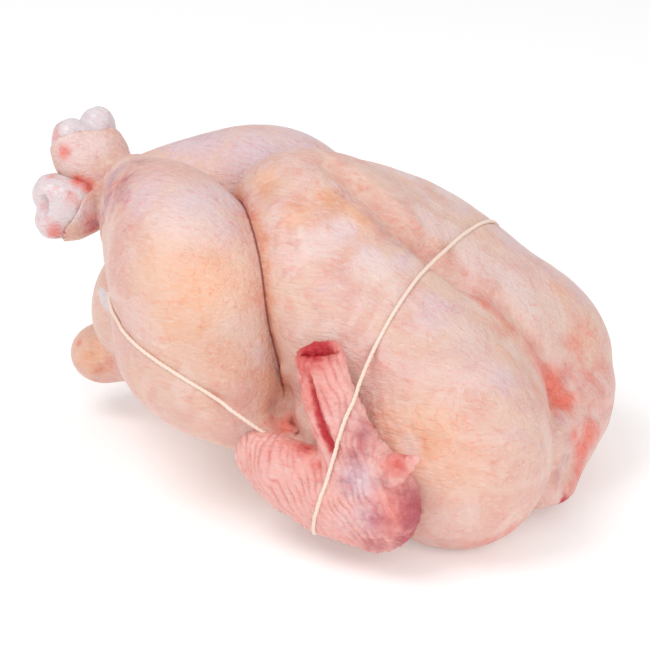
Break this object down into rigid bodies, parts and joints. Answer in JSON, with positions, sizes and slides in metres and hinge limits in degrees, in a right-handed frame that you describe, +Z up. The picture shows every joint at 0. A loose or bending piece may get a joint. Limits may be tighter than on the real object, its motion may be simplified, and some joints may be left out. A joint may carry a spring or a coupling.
{
  "type": "whole raw chicken",
  "caption": "Whole raw dressed chicken lying on its back, breast up, legs crossed over the tail and wings at its sides, held by an elastic truss string.",
  "frame": {"origin": "under the middle of the box round the whole bird, on the surface that its back lies on", "axes": "+X towards the neck end, +Z up through the breast, -Y the side of the leg that crosses on top"},
  "size_m": [0.2348, 0.1872, 0.1328],
  "materials": {
    "skin": "moist satin raw skin",
    "string": "matte knitted elastic"
  },
  "bodies": {
    "root": {"chicken": "skin", "truss_string": "string"}
  },
  "joints": []
}
